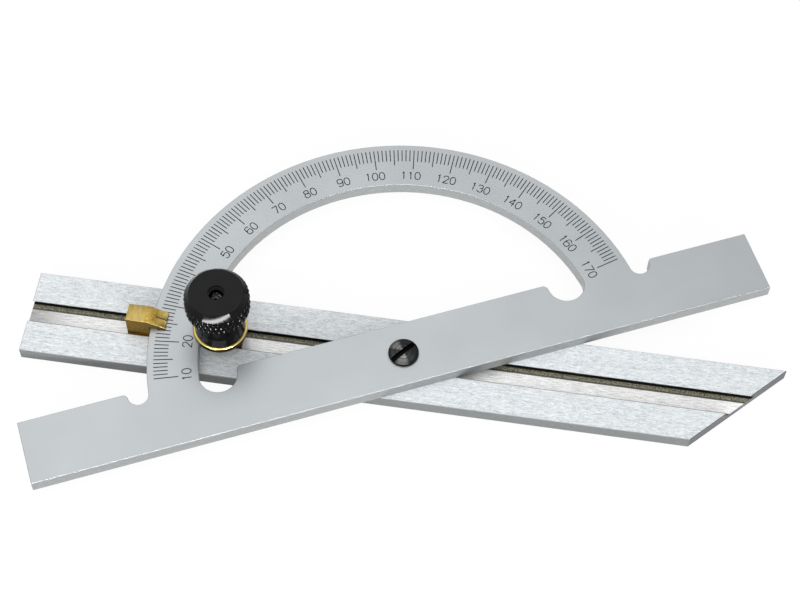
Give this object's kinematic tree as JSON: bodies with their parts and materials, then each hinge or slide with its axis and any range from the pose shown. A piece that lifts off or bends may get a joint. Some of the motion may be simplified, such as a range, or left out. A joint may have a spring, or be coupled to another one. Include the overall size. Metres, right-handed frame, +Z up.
{
  "type": "bevel protractor",
  "caption": "Flat semicircular degree scale on a straight bar, pivoted on a grooved rail with one mitred end, with a sliding index pointer and a knurled clamp knob.",
  "frame": {"origin": "on the pivot axis, in the plane of the rail's underside, on which the tool lies", "axes": "+X along the rail towards its mitred end, +Y across the rail towards the arc, +Z up, out of the graduated face"},
  "size_m": [0.15, 0.0882, 0.0195],
  "materials": {
    "rail_steel": "ground steel, brushed lengthwise, bright",
    "base_chrome": "satin chrome plated steel, glare free",
    "mark_fill": "dark paint filled engraving",
    "pivot_nut_steel": "turned and milled steel",
    "pivot_screw_black": "black oxide on turned steel, oiled",
    "pointer_brass": "milled brass, lightly worn",
    "stud_steel": "black oxide on threaded steel",
    "washer_brass": "turned brass, bright",
    "knob_black": "gloss black plated steel, diamond knurled grip"
  },
  "bodies": {
    "rail": {"rail": "rail_steel"},
    "swivel": {"pivot_nut": "pivot_nut_steel", "pivot_screw": "pivot_screw_black", "slider_pointer": "pointer_brass", "clamp_stud": "stud_steel"},
    "protractor": {"base_plate": "base_chrome", "marks_degree": "mark_fill", "marks_five": "mark_fill", "marks_ten": "mark_fill"},
    "washer": {"clamp_washer": "washer_brass"},
    "knob": {"clamp_knob": "knob_black"}
  },
  "joints": [
    {"name": "rail_slide", "type": "slide", "parent": "rail", "child": "swivel", "axis": [1, 0, 0], "range_m": [-0.02, 0.058]},
    {"name": "angle_turn", "type": "hinge", "parent": "swivel", "child": "protractor", "pos_m": [0, 0, 0], "axis": [0, 0, 1], "range_deg": [-15.4, 144.6]},
    {"name": "washer_lift", "type": "slide", "parent": "swivel", "child": "washer", "axis": [0, 0, 1], "range_m": [0, 0.0005]},
    {"name": "knob_turn", "type": "hinge", "parent": "washer", "child": "knob", "pos_m": [-0.0363, 0, 0], "axis": [0, 0, 1], "range_deg": [0, 360]}
  ],
  "couplings": [
    {"joint": "knob_turn", "follows": "washer_lift", "rad_per_m": 12566}
  ]
}
